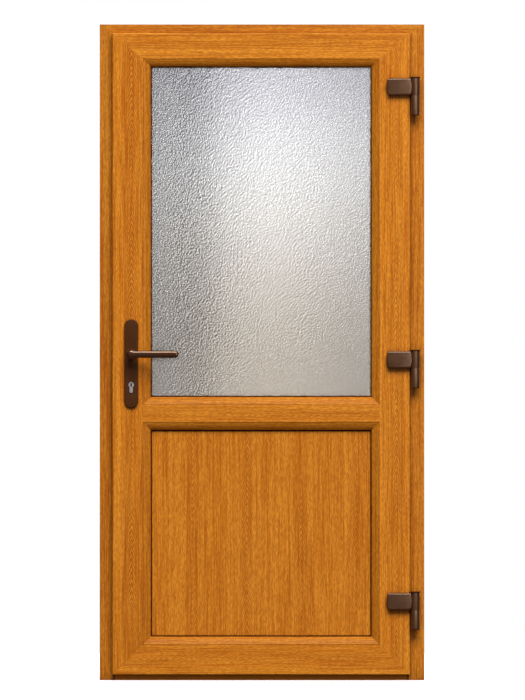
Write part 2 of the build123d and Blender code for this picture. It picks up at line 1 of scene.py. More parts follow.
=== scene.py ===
import bpy
import bmesh
import math
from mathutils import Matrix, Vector


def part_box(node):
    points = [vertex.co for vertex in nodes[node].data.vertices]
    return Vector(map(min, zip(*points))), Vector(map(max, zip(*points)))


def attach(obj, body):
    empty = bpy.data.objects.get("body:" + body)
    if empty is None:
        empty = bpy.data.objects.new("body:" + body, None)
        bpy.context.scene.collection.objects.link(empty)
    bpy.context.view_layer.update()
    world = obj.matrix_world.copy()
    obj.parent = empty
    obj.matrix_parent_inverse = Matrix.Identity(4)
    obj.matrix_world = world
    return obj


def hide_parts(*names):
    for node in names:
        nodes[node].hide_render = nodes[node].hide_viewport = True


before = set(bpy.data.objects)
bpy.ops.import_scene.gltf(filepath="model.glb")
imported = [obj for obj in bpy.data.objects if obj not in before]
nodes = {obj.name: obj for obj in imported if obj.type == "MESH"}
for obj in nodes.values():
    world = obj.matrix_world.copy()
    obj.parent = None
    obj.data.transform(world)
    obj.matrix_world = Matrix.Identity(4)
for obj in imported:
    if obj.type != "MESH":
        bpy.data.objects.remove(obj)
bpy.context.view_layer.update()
scene = bpy.context.scene


# node helpers: the owner is a material, a world or a lamp, whatever has a node tree

def feed(owner, node, inputs):
    # a socket is linked, anything else is set as it is
    for key, value in inputs.items():
        if isinstance(value, bpy.types.NodeSocket):
            owner.node_tree.links.new(value, node.inputs[key])
        else:
            node.inputs[key].default_value = value


def addNode(owner, kind, inputs=None, **settings):
    node = owner.node_tree.nodes.new(kind)
    for key, value in settings.items():
        setattr(node, key, value)
    feed(owner, node, inputs or {})
    return node


def newMaterial(name):
    mat = bpy.data.materials.new(name)
    mat.use_nodes = True
    mat.node_tree.nodes.clear()
    shader = addNode(mat, "ShaderNodeBsdfPrincipled")
    addNode(mat, "ShaderNodeOutputMaterial", {"Surface": shader.outputs[0]})
    return mat, shader


def mathOf(owner, operation, a, b=0.0, c=0.0, clamp=False):
    return addNode(owner, "ShaderNodeMath", {0: a, 1: b, 2: c}, operation=operation, use_clamp=clamp).outputs[0]


def mapRange(owner, value, start, end, low=0.0, high=1.0, shape="LINEAR"):
    inputs = {"Value": value, "From Min": start, "From Max": end, "To Min": low, "To Max": high}
    return addNode(owner, "ShaderNodeMapRange", inputs, interpolation_type=shape).outputs[0]


def objectCoords(mat, stretch=(1.0, 1.0, 1.0), shift=(0.0, 0.0, 0.0)):
    coords = addNode(mat, "ShaderNodeTexCoord").outputs["Object"]
    return addNode(mat, "ShaderNodeMapping", {"Vector": coords, "Location": shift, "Scale": stretch}).outputs[0]


def noiseOf(mat, vector, scale, detail=3.0, roughness=0.55, distortion=0.0):
    inputs = {"Vector": vector, "Scale": scale, "Detail": detail, "Roughness": roughness, "Distortion": distortion}
    return addNode(mat, "ShaderNodeTexNoise", inputs).outputs["Fac"]


def rampOf(owner, fac, stops, interpolation="LINEAR"):
    node = addNode(owner, "ShaderNodeValToRGB", {"Fac": fac})
    ramp = node.color_ramp
    ramp.interpolation = interpolation
    while len(ramp.elements) > 1:
        ramp.elements.remove(ramp.elements[-1])
    for i, (pos, value) in enumerate(stops):
        element = ramp.elements[0] if i == 0 else ramp.elements.new(pos)
        element.position = pos
        element.color = (*value, 1.0) if isinstance(value, tuple) else (value, value, value, 1.0)
    return node.outputs["Color"]


def fadeIn(mat, fac, low, high):
    return rampOf(mat, fac, [(low, 0.0), (high, 1.0)])


def mixColors(owner, a, b, fac, blend="MIX"):
    a, b = ((*color, 1.0) if isinstance(color, tuple) else color for color in (a, b))
    return addNode(owner, "ShaderNodeMix", {0: fac, 6: a, 7: b}, data_type="RGBA", blend_type=blend).outputs[2]


def bumpOf(mat, height, strength, distance):
    return addNode(mat, "ShaderNodeBump", {"Height": height, "Strength": strength, "Distance": distance}).outputs[0]


def dress(mat, *names):
    for name in names:
        nodes[name].data.materials.clear()
        nodes[name].data.materials.append(mat)


# golden oak foil

oak = {
    "pale": (0.880, 0.335, 0.0290),
    "golden": (0.640, 0.184, 0.0080),
    "brown": (0.380, 0.084, 0.0022),
    "dark": (0.210, 0.040, 0.0012),
    # how far the grain strays from a straight line, and how fast, across and along the board
    "wander": 0.006,
    "bends": (5.0, 2.1),
    "bendNoise": (1.0, 3.0, 0.45),
    # scale across and along, where the marks fade in, and the detail and roughness of their noise
    "marks": {
        "bands": (30.0, 1.1, 0.38, 0.62, 2.0, 0.55),
        "shadows": (52.0, 1.3, 0.46, 0.66, 2.0, 0.55),
        "streaks": (115.0, 2.0, 0.42, 0.62, 3.0, 0.6),
        "fibres": (330.0, 6.0, 0.40, 0.60, 2.0, 0.6),
        "flecks": (380.0, 75.0, 0.42, 0.58, 1.0, 0.5),
        "pores": (480.0, 24.0, 0.58, 0.68, 2.0, 0.55),
    },
    # tone of the marks, how strong they are, and how much a lively board adds to that
    "coats": {
        "bands": ("pale", 0.56, 1.0),
        "shadows": ("brown", 0.14, 3.0),
        "streaks": ("brown", 0.46, 1.0),
        "fibres": ("pale", 0.60, 0.4),
        "flecks": ("brown", 0.44, 0.0),
        "flames": ("brown", 1.0, 0.0),
        "pores": ("dark", 0.42, 0.0),
    },
    # shade in the corners: how far it reaches, its tint, and the openness between which it fades
    "corners": ((0.038, (0.62, 0.56, 0.48), 0.25, 0.92), (0.0040, (0.40, 0.30, 0.20), 0.45, 0.80)),
    "roughness": (0.39, 0.52),
    "gloss": 0.08,
    "embossing": 0.00016,
    "embossingStrength": 0.6,
}

flames = {
    "hearts": 0.165,  # from one veneer strip's heart to the next
    "tip": 0.000006,  # rounds the tip of each arch
    "rise": 0.0190,  # from one arch to the next
    "slope": 3.2,
    "wobble": 0.030,
    "wobbleNoise": (55.0, 24.0, 2.0, 0.6),
    "edges": (0.20, 0.90),
    "strength": 1.3,  # on the heart line, falling by the next value to the sides
    "sideFall": 46.0,
    "patches": (3.0, 3.4, 1.0, 0.5),
    "patchEdges": (0.30, 0.50),
}


def grainCoords(mat, grain, shift):
    # across, depth and along, whichever way the board lies
    coords = addNode(mat, "ShaderNodeTexCoord").outputs["Object"]
    x, y, z = addNode(mat, "ShaderNodeSeparateXYZ", {0: coords}).outputs
    across, along = (x, z) if grain == "z" else (z, x)
    bend = addNode(mat, "ShaderNodeCombineXYZ", {0: mathOf(mat, "MULTIPLY", across, oak["bends"][0]), 1: y,
                                                 2: mathOf(mat, "MULTIPLY", along, oak["bends"][1])})
    bend = addNode(mat, "ShaderNodeMapping", {"Vector": bend.outputs[0], "Location": shift})
    stray = mathOf(mat, "SUBTRACT", noiseOf(mat, bend.outputs[0], *oak["bendNoise"]), 0.5)
    return mathOf(mat, "MULTIPLY_ADD", stray, oak["wander"] * 2, across), y, along


def boardNoise(mat, board, shift, acrossScale, alongScale, detail, roughness):
    scaled = [mathOf(mat, "MULTIPLY", side, scale)
              for side, scale in zip(board, (acrossScale, acrossScale, alongScale))]
    vector = addNode(mat, "ShaderNodeCombineXYZ", dict(enumerate(scaled)))
    moved = addNode(mat, "ShaderNodeMapping", {"Vector": vector.outputs[0], "Location": shift})
    return noiseOf(mat, moved.outputs[0], 1.0, detail, roughness)


def heartFlames(mat, board, shift, heart, inverted):
    # nested pointed arches up the heart of each veneer strip, hanging upside down left of the inverted line
    across, depth, along = board
    offHeart = mathOf(mat, "PINGPONG", mathOf(mat, "SUBTRACT", across, heart), flames["hearts"] / 2)
    spread = mathOf(mat, "SQRT", mathOf(mat, "MULTIPLY_ADD", offHeart, offHeart, flames["tip"]))
    slope = flames["slope"]
    if inverted is not None:
        slope = mathOf(mat, "MULTIPLY_ADD", mathOf(mat, "LESS_THAN", across, inverted), -2 * slope, slope)
    wobble = boardNoise(mat, board, shift, *flames["wobbleNoise"])
    phase = mathOf(mat, "MULTIPLY_ADD", wobble, flames["wobble"], mathOf(mat, "MULTIPLY_ADD", spread, slope, along))
    wave = mathOf(mat, "SINE", mathOf(mat, "MULTIPLY", phase, math.tau / flames["rise"]))
    arches = fadeIn(mat, mathOf(mat, "MULTIPLY_ADD", wave, 0.5, 0.5), *flames["edges"])
    sideways = mathOf(mat, "MULTIPLY", spread, flames["sideFall"])
    nearHeart = mathOf(mat, "SUBTRACT", flames["strength"], sideways, clamp=True)
    patches = fadeIn(mat, boardNoise(mat, board, shift, *flames["patches"]), *flames["patchEdges"])
    return mathOf(mat, "MULTIPLY", mathOf(mat, "MULTIPLY", arches, nearHeart), patches)


def oakFoil(name, grain, shift, shade=1.0, lively=1.0, heart=0.0, flaming=0.0, inverted=None):
    mat, shader = newMaterial(name)
    board = grainCoords(mat, grain, shift)

    # shade scales every tone of the member: painted light and shade
    def toned(key):
        return tuple(c * shade for c in oak[key])

    marks = {}
    for kind, (acrossScale, alongScale, low, high, detail, roughness) in oak["marks"].items():
        noise = boardNoise(mat, board, shift, acrossScale, alongScale, detail, roughness)
        marks[kind] = fadeIn(mat, noise, low, high)
    if flaming:
        marks["flames"] = mathOf(mat, "MULTIPLY", heartFlames(mat, board, shift, heart, inverted), flaming)

    color = toned("golden")
    for kind, (tone, strength, addedByLively) in oak["coats"].items():
        if kind in marks:
            cover = mathOf(mat, "MULTIPLY", marks[kind], strength * lively ** addedByLively, clamp=True)
            color = mixColors(mat, color, toned(tone), cover)
    # painted shade: the colour darkens where nearby faces close in, in corners and creases
    for reach, tint, low, high in oak["corners"]:
        openness = addNode(mat, "ShaderNodeAmbientOcclusion", {"Distance": reach}, samples=8).outputs["AO"]
        shaded = mixColors(mat, color, tint, 1.0, "MULTIPLY")
        color = mixColors(mat, shaded, color, fadeIn(mat, openness, low, high))

    relief = mathOf(mat, "SUBTRACT", marks["fibres"], marks["pores"])
    feed(mat, shader, {
        "Base Color": color,
        "Specular IOR Level": oak["gloss"],
        "Roughness": rampOf(mat, marks["fibres"], [(0.0, oak["roughness"][0]), (1.0, oak["roughness"][1])]),
        "Normal": bumpOf(mat, relief, oak["embossingStrength"], oak["embossing"]),
    })
    return mat


# grain direction, shift, shade (each member painted lighter or darker for how the light falls on it: painted light
# and shade), liveliness, and for flames their heart line, strength and inverted line
foils = {
    "leaf_lock_stile": ("z", (0.0, 0.0, 0.0), 1.03, 1.5, -0.393, 0.75),
    "leaf_hinge_stile": ("z", (3.1, 0.0, 1.7), 1.07, 1.5, 0.405, 0.50),
    "leaf_top_rail": ("x", (0.6, 2.2, 5.3), 1.06, 1.45, 1.920, 0.20),
    "leaf_bottom_rail": ("x", (2.4, 1.1, 0.2), 1.08, 1.3, 0.065, 0.35),
    "leaf_mid_rail": ("x", (1.3, 4.2, 2.9), 1.05, 1.3, 0.800, 0.30),
    "frame_lock_jamb": ("z", (7.7, 2.0, 0.4), 0.84, 1.4),
    "frame_hinge_jamb": ("z", (5.2, 1.0, 3.3), 0.94, 1.4),
    "frame_head": ("x", (4.4, 0.7, 8.1), 0.92, 1.2),
    "lower_panel": ("z", (9.3, 3.0, 6.1), 1.0, 1.05, -0.046, 0.55, -0.13),
}
# the beads' shade darkens them, the side beads most: painted shade for their sloped faces
beads = {"lock": ("z", 0.85), "hinge": ("z", 0.82), "top": ("x", 0.92), "bottom": ("x", 0.90)}
for kind, offset in (("glass", 11.0), ("panel", 14.0)):
    for place, (grain, shade) in beads.items():
        offset += 0.7
        foils[f"{kind}_bead_{place}"] = (grain, (offset, offset * 0.3, offset * 0.6), shade, 1.1)

for node, look in foils.items():
    dress(oakFoil(f"oakFoil_{node}", *look), node)
print("oak foil on", len(foils), "members")


# obscured glass

glass = {
    # the colour of each slope is painted light and shade: towards the light near white, away from it near black
    "paintedLitSlope": (1.0, 1.0, 1.0),
    "paintedShadedSlope": (0.02, 0.02, 0.025),
    "level": 0.66,  # painted tone where the face is level, between the painted shade and the painted light of the slopes
    "roughness": 0.02,
    "index": 1.45,
    "clear": 0.985,
    "sparkle": 0.10,
    # scale, detail, roughness and distortion of the wide and the fine wrinkles
    "worms": (165.0, 2.0, 0.5, 0.9),
    "fine": (330.0, 2.0, 0.5, 0.3),
    "wormShare": 0.66,
    "wrinkleDepth": 0.0027,
    "lightFrom": (0.0010, 0.0, -0.0008),
    # how strongly the painted light and shade of the wrinkles shows, from the lock side to the hinge side, and at
    # the foot
    "relief": 15.0,
    "sides": (-0.36, 0.24),
    "across": [(0.0, 0.24), (0.10, 0.34), (0.26, 1.45), (0.42, 0.46), (0.60, 0.24), (0.80, 0.26), (1.0, 0.17)],
    "footHeights": (0.88, 1.08),
    "foot": 0.42,
}

outerPane = {
    "tint": (0.95, 0.95, 0.96, 1.0),
    "smearShift": (2.0, 0.0, 0.0),
    "smear": (9.0, 2.0, 0.5),
    "roughness": [(0.3, 0.01), (0.7, 0.03)],
    "clear": 0.99,
}


def wrinkleHeight(mat, shift, flat):
    # flat leaves out the depth, so that both faces of the pane agree
    coords = objectCoords(mat, (1.0, 0.0 if flat else 1.0, 1.0), shift)
    worms = noiseOf(mat, coords, *glass["worms"])
    fine = noiseOf(mat, coords, *glass["fine"])
    share = glass["wormShare"]
    return mathOf(mat, "ADD", mathOf(mat, "MULTIPLY", worms, share), mathOf(mat, "MULTIPLY", fine, 1 - share))


def obscuredGlass():
    # hammered face: a wrinkled relief, with painted light and shade in its colour: slopes towards the light
    # lighter, slopes away from it darker
    mat, shader = newMaterial("obscuredGlass")
    height = wrinkleHeight(mat, (0.0, 0.0, 0.0), True)
    beside = wrinkleHeight(mat, glass["lightFrom"], True)
    coords = addNode(mat, "ShaderNodeTexCoord").outputs["Object"]
    place = addNode(mat, "ShaderNodeSeparateXYZ", {0: coords})
    # the painted light and shade is strongest on the lock side of the middle and fainter at the foot
    relief = rampOf(mat, mapRange(mat, place.outputs["X"], *glass["sides"]), glass["across"], "EASE")
    foot = mapRange(mat, place.outputs["Z"], *glass["footHeights"], glass["foot"], 1.0, "SMOOTHSTEP")
    strength = mathOf(mat, "MULTIPLY", mathOf(mat, "MULTIPLY", relief, foot), glass["relief"])
    slope = mathOf(mat, "MULTIPLY_ADD", mathOf(mat, "SUBTRACT", beside, height), strength, glass["level"])
    feed(mat, shader, {
        "Base Color": rampOf(mat, slope, [(0.0, glass["paintedShadedSlope"]), (1.0, glass["paintedLitSlope"])]),
        "Normal": bumpOf(mat, wrinkleHeight(mat, (0.0, 0.0, 0.0), False), 1.0, glass["wrinkleDepth"]),
        "Roughness": glass["roughness"],
        "IOR": glass["index"],
        "Transmission Weight": glass["clear"],
        "Specular IOR Level": glass["sparkle"],
    })
    return mat


def clearGlass():
    mat, shader = newMaterial("clearGlass")
    smear = noiseOf(mat, objectCoords(mat, shift=outerPane["smearShift"]), *outerPane["smear"])
    feed(mat, shader, {
        "Base Color": outerPane["tint"],
        "Roughness": rampOf(mat, smear, outerPane["roughness"]),
        "IOR": glass["index"],
        "Transmission Weight": outerPane["clear"],
    })
    return mat


dress(obscuredGlass(), "glass_pane_room")
dress(clearGlass(), "glass_pane_outer")
print("glass panes")


# seals, metal and hardware finishes

rubber = {
    "dark": (0.052, 0.0100, 0.0010),
    "light": (0.075, 0.0150, 0.0016),
    "roughness": [(0.3, 0.55), (0.7, 0.75)],
    "gloss": 0.03,
    "grime": (40.0, 4.0, 0.6),
    "grain": (900.0, 2.0),
    "grainStrength": 0.3,
    "grainDepth": 0.0001,
}

coat = {
    "cloud": (28.0, 4.0, 0.6),
    "peel": (1400.0, 2.0, 0.5),
    "peelStrength": 0.25,
    "peelDepth": 0.00006,
}

warmSheen = (1.0, 0.72, 0.52)

# the darker and the lighter tone, the roughness, and what else sets the finish apart
finishes = {
    "mattNickel": ((0.40, 0.335, 0.325), (0.50, 0.425, 0.415), 0.34, {"metallic": 0.7}),
    "zincPlate": ((0.34, 0.34, 0.35), (0.50, 0.50, 0.50), 0.38, {"metallic": 1.0}),
    # painted light: the threshold's brown is lifted far brighter than its own tone to make up for the shade under
    # the leaf
    "thresholdBrownPaintedLight": ((0.74, 0.215, 0.0075), (0.86, 0.265, 0.0120), 0.55, {"gloss": 0.1}),
    "handlePlateBrown": ((0.066, 0.0212, 0.0062), (0.079, 0.0258, 0.0080), 0.45,
                         {"gloss": 0.12, "sheen": warmSheen}),
    "leverBrown": ((0.038, 0.0098, 0.0022), (0.045, 0.0118, 0.0028), 0.14,
                   {"gloss": 1.0, "worn": 0.01, "sheen": (1.0, 0.68, 0.48)}),
    "hingeCoverBrown": ((0.060, 0.0185, 0.0050), (0.074, 0.0235, 0.0066), 0.30, {"gloss": 1.0, "sheen": warmSheen}),
    "hingeBarrelBrown": ((0.060, 0.0185, 0.0052), (0.074, 0.0235, 0.0068), 0.40,
                         {"gloss": 1.0, "sheen": warmSheen}),
    "hingeCapBrown": ((0.070, 0.0190, 0.0024), (0.088, 0.0240, 0.0034), 0.45, {"gloss": 0.1, "sheen": warmSheen}),
    "plugNickel": ((0.52, 0.450, 0.435), (0.62, 0.540, 0.525), 0.36, {"metallic": 0.6}),
    # painted shade: near black for the keyway's inner faces, where shade falls
    "keywayPaintedShade": ((0.004, 0.004, 0.006), (0.008, 0.008, 0.012), 0.6, {"gloss": 0.1}),
}


def rubberSeal():
    mat, shader = newMaterial("brownSealRubber")
    coords = objectCoords(mat)
    grime = noiseOf(mat, coords, *rubber["grime"])
    grain = noiseOf(mat, coords, *rubber["grain"])
    feed(mat, shader, {
        "Base Color": rampOf(mat, grime, [(0.3, rubber["dark"]), (0.7, rubber["light"])]),
        "Roughness": rampOf(mat, grime, rubber["roughness"]),
        "Specular IOR Level": rubber["gloss"],
        "Normal": bumpOf(mat, grain, rubber["grainStrength"], rubber["grainDepth"]),
    })
    return mat


def coatedMetal(name, metallic=0.0, gloss=0.4, worn=0.06, sheen=(1.0, 1.0, 1.0)):
    mat, shader = newMaterial(name)
    dark, light, roughness = finishes[name][:3]
    coords = objectCoords(mat)
    cloud = noiseOf(mat, coords, *coat["cloud"])
    peel = noiseOf(mat, coords, *coat["peel"])
    feed(mat, shader, {
        "Base Color": rampOf(mat, cloud, [(0.3, dark), (0.72, light)]),
        "Roughness": rampOf(mat, cloud, [(0.3, roughness - worn), (0.7, roughness + worn)]),
        "Normal": bumpOf(mat, peel, coat["peelStrength"], coat["peelDepth"]),
        "Metallic": metallic,
        "Specular IOR Level": gloss,
        "Specular Tint": (*sheen, 1.0),
    })
    return mat


metals = {name: coatedMetal(name, **look[3]) for name, look in finishes.items()}
dress(rubberSeal(), *[name for name in nodes if "gasket" in name or name.endswith("_seal")])
dress(metals["mattNickel"], "lock_cylinder")
dress(metals["zincPlate"], "lock_faceplate", "lock_latch", "lock_bolt", "strike_plate", "spindle", "glass_spacer")
# the threshold's colour carries painted light against the shade under the leaf
dress(metals["thresholdBrownPaintedLight"], "threshold")
print("seals and hardware finishes")


# mesh helpers

def meshOf(bm, name):
    bmesh.ops.recalc_face_normals(bm, faces=bm.faces)
    mesh = bpy.data.meshes.new(name)
    bm.to_mesh(mesh)
    bm.free()
    return mesh


def scratchObject(mesh):
    obj = bpy.data.objects.new("scratch", mesh)
    scene.collection.objects.link(obj)
    return obj


def bakeModifiers(obj):
    graph = bpy.context.evaluated_depsgraph_get()
    mesh = bpy.data.meshes.new_from_object(obj.evaluated_get(graph))
    bpy.data.objects.remove(obj, do_unlink=True)
    return mesh


def cutAway(mesh, cutterMesh, selfCut=False):
    body, cutter = scratchObject(mesh), scratchObject(cutterMesh)
    cut = body.modifiers.new("cut", "BOOLEAN")
    cut.operation = "DIFFERENCE"
    cut.solver = "EXACT"
    cut.use_self = selfCut
    cut.object = cutter
    left = bakeModifiers(body)
    bpy.data.objects.remove(cutter, do_unlink=True)
    return left


def addBlock(bm, low, high):
    for vert in bmesh.ops.create_cube(bm, size=1.0)["verts"]:
        vert.co = Vector([low[k] if vert.co[k] < 0 else high[k] for k in range(3)])


def bridge(bm, low, high):
    for i in range(len(low)):
        j = (i + 1) % len(low)
        bm.faces.new((low[i], low[j], high[j], high[i]))


def around(radius, level, steps, facing=1):
    # points of a profile: each step is millimetres from a radius in millimetres and from a level in metres
    return [((radius + out) / 1000, level + facing * up / 1000) for out, up in steps]


def turned(bm, profile, place, upright=False, closed=False, steps=64):
    # revolves the profile round the y axis, or the z axis if upright; a closed profile runs back into itself
    rings = []
    for radius, along in profile:
        ring = []
        for i in range(steps):
            angle = i * math.tau / steps
            u, v = radius * math.cos(angle), radius * math.sin(angle)
            at = (place[0] + u, place[1] + v, along) if upright else (place[0] + u, along, place[2] + v)
            ring.append(bm.verts.new(at))
        rings.append(ring)
    for low, high in zip(rings, rings[1:] + rings[:1] if closed else rings[1:]):
        bridge(bm, low, high)
    if not closed:
        bm.faces.new(rings[0])
        bm.faces.new(list(reversed(rings[-1])))


def arcPoints(x, z, radius, start, end, count):
    turns = [math.radians(start + (end - start) * i / count) for i in range(count + 1)]
    return [(x + radius * math.cos(turn), z + radius * math.sin(turn)) for turn in turns]


def offsetLoop(loop, by):
    # the loop moved towards its left hand side; outlines run anticlockwise, openings clockwise
    moved = []
    for i, (x, z) in enumerate(loop):
        beforeX, beforeZ = loop[i - 1]
        afterX, afterZ = loop[(i + 1) % len(loop)]
        alongX, alongZ = afterX - beforeX, afterZ - beforeZ
        length = math.hypot(alongX, alongZ)
        moved.append((x - alongZ / length * by, z + alongX / length * by))
    return moved


def standingPlate(loops, depth, edge, back, facing, rounds=4):
    # a closed plate standing out from the face behind it, its front edges rounded
    steps = [(0.0, 0.0), (0.0, depth - edge)]
    for k in range(1, rounds + 1):
        turn = math.radians(90 * k / rounds)
        steps.append((edge * (1 - math.cos(turn)), depth - edge + edge * math.sin(turn)))
    bm = bmesh.new()
    ends = ([], [])
    for loop in loops:
        rings = [[bm.verts.new((x, back - facing * height, z)) for x, z in offsetLoop(loop, inward)]
                 for inward, height in steps]
        for low, high in zip(rings, rings[1:]):
            bridge(bm, low, high)
        for end, ring in zip(ends, (rings[0], rings[-1])):
            end.extend(bm.edges.get((ring[i - 1], ring[i])) for i in range(len(ring)))
    for end in ends:
        bmesh.ops.triangle_fill(bm, edges=end, use_beauty=True)
    return bm


def addPiece(name, mesh, mat, body, smoothAngle=40.0):
    piece = bpy.data.objects.new(name, mesh)
    scene.collection.objects.link(piece)
    mesh.materials.clear()
    mesh.materials.append(mat)
    for poly in mesh.polygons:
        poly.use_smooth = True
    mesh.set_sharp_from_angle(angle=math.radians(smoothAngle))
    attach(piece, body)
    return piece


# levers: a turned hub that flows into a rounded grip

lever = {
    # radius, and distance behind the lever's front, in millimetres
    "hub": ((0.4, 0.4), (4.0, 0.6), (7.6, 1.3), (10.6, 2.6), (13.0, 4.6), (14.5, 7.2), (15.0, 10.0), (14.6, 13.0),
            (12.9, 16.5), (11.0, 21.0), (10.2, 27.0), (10.2, 33.0), (10.8, 38.5), (12.2, 42.5), (13.8, 45.4),
            (9.9, 45.6), (9.9, 57.9)),
    # from the spindle outwards: distance, half height, half thickness
    "grip": ((0.0, 10.6, 5.6), (10.0, 10.6, 5.5), (18.0, 10.6, 5.5), (30.0, 10.8, 5.7), (48.0, 11.0, 5.9),
             (75.0, 11.15, 6.2), (105.0, 11.25, 6.4), (126.0, 11.25, 6.4), (133.0, 11.0, 6.1), (137.5, 10.0, 5.4),
             (140.3, 8.2, 4.3), (141.8, 5.8, 2.9), (142.4, 2.6, 1.3)),
    "gripMiddle": 0.0065,
    "gripSides": 48,
    "roundness": 2.25,
    "voxel": 0.0009,
    "softening": 4,
}


def leverMesh(axisX, axisZ, front, facing):
    # facing is 1 for the room side, -1 for the lever outside
    bm = bmesh.new()
    turned(bm, around(0.0, front, lever["hub"], facing), (axisX, 0.0, axisZ))
    middle = front + facing * lever["gripMiddle"]
    power, sides = 2 / lever["roundness"], lever["gripSides"]
    rings = []
    for along, halfHeight, halfDepth in lever["grip"]:
        ring = []
        for i in range(sides):
            angle = i * math.tau / sides
            c, d = math.cos(angle), math.sin(angle)
            up = math.copysign(abs(c) ** power, c) * halfHeight / 1000
            out = math.copysign(abs(d) ** power, d) * halfDepth / 1000
            ring.append(bm.verts.new((axisX + along / 1000, middle + out, axisZ + up)))
        rings.append(ring)
    for low, high in zip(rings, rings[1:]):
        bridge(bm, low, high)
    bm.faces.new(rings[0])
    bm.faces.new(rings[-1])
    body = scratchObject(meshOf(bm, "lever"))
    cast = body.modifiers.new("cast", "REMESH")
    cast.mode = "VOXEL"
    cast.voxel_size = lever["voxel"]
    soft = body.modifiers.new("soft", "SMOOTH")
    soft.factor = 0.5
    soft.iterations = lever["softening"]
    return bakeModifiers(body)


# handle plates: a long rounded plate with a collar, a bore for the lever and an opening for the cylinder

handlePlate = {
    "corner": 0.0190,
    "edge": 0.0024,
    "thickness": 0.0090,
    "boreRadius": 0.01005,
    # radius, and height above the leaf's face, in millimetres
    "collar": ((10.05, 0.2), (16.6, 0.2), (17.0, 0.5), (17.0, 9.6), (16.7, 10.6), (15.9, 11.5), (14.9, 11.95),
               (10.6, 12.0), (10.05, 11.6)),
    "collarSides": 72,
    "cylinderDrop": 0.092,
    "openingRadius": 0.0088,
    "openingWeb": 0.0053,
    "webDrop": 0.0195,
}


def plateLoops(low, high, axisX, axisZ):
    r = handlePlate["corner"]
    left, right, bottom, top = low[0] + r, high[0] - r, low[2] + r, high[2] - r
    outline = []
    for k, (x, z) in enumerate(((right, top), (left, top), (left, bottom), (right, bottom))):
        outline += arcPoints(x, z, r, 90 * k, 90 * k + 90, 18)
    bore = arcPoints(axisX, axisZ, handlePlate["boreRadius"], 0, 360, 48)[:-1]
    # the cylinder's opening, round above with a straight web below
    radius, web = handlePlate["openingRadius"], handlePlate["openingWeb"]
    join = math.degrees(math.asin(web / radius))
    cylinderZ = axisZ - handlePlate["cylinderDrop"]
    opening = (arcPoints(axisX, cylinderZ, radius, join - 90, 270 - join, 32)
               + arcPoints(axisX, cylinderZ - handlePlate["webDrop"], web, 180, 360, 14))
    return [outline, bore[::-1], opening[::-1]]


def plateMesh(node, facing):
    low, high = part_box(node)
    face = high[1] if facing > 0 else low[1]
    axisX = (low[0] + high[0]) / 2
    loops = plateLoops(low, high, axisX, spindleZ)
    bm = standingPlate(loops, handlePlate["thickness"], handlePlate["edge"], face, facing)
    collar = around(0.0, face, handlePlate["collar"], -facing)
    turned(bm, collar, (axisX, 0.0, spindleZ), closed=True, steps=handlePlate["collarSides"])
    return meshOf(bm, "plate")


spindleLow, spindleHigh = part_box("spindle")
spindleX = (spindleLow[0] + spindleHigh[0]) / 2
spindleZ = (spindleLow[2] + spindleHigh[2]) / 2

for side, facing in (("room", 1), ("outer", -1)):
    low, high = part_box(f"lever_{side}")
    front = low[1] if facing > 0 else high[1]
    mesh = leverMesh(spindleX, spindleZ, front, facing)
    piece = addPiece(f"lever{side.capitalize()}", mesh, metals["leverBrown"], "handle", 50.0)
    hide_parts(f"lever_{side}")
    mesh = plateMesh(f"handle_plate_{side}", facing)
    piece = addPiece(f"handlePlate{side.capitalize()}", mesh, metals["handlePlateBrown"], "leaf")
    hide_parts(f"handle_plate_{side}")
print("levers and handle plates")


# hinge covers: domed ends, a soft front edge, and hollow behind with room for the knuckle

cover = {
    "bulge": 0.0050,
    "edge": 0.0042,
    "wall": 0.0025,
    "knuckle": 14.35,
    "endSteps": 20,
}


def hingeAxis(place):
    low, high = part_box(f"hinge_{place}_frame_side")
    return (low[0] + high[0]) / 2, low[1] + (high[0] - low[0]) / 2


def coverMesh(low, high, axis):
    left, right, bottom, top = low[0], high[0], low[2], high[2]
    bulge, half, middle = cover["bulge"], (top - bottom) / 2, (top + bottom) / 2
    radius = (half * half + bulge * bulge) / (2 * bulge)
    reach = math.degrees(math.asin(half / radius))
    outline = (arcPoints(right - radius, middle, radius, -reach, reach, cover["endSteps"])
               + arcPoints(left + radius, middle, radius, 180 - reach, 180 + reach, cover["endSteps"]))
    shell = meshOf(standingPlate([outline], high[1] - low[1], cover["edge"], high[1], 1), "cover")
    past = 10.0  # the cutter runs on past the cover
    bm = bmesh.new()
    turned(bm, around(cover["knuckle"], bottom, [(0, -past)]) + around(cover["knuckle"], top, [(0, past)]),
           (*axis, 0.0), upright=True)
    wall = cover["wall"]
    addBlock(bm, (left + bulge + wall, low[1] + wall, bottom + wall), (axis[0], high[1] + past / 1000, top - wall))
    return cutAway(shell, meshOf(bm, "cutter"), selfCut=True)


for place in ("bottom", "middle", "top"):
    mesh = coverMesh(*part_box(f"hinge_{place}_cover"), hingeAxis(place))
    piece = addPiece(f"hingeCover{place.capitalize()}", mesh, metals["hingeCoverBrown"], "leaf")
    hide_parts(f"hinge_{place}_cover")
print("hinge covers")


# hinge barrels: the upper one with its cap on the leaf, the lower one with pin and bracket on the frame

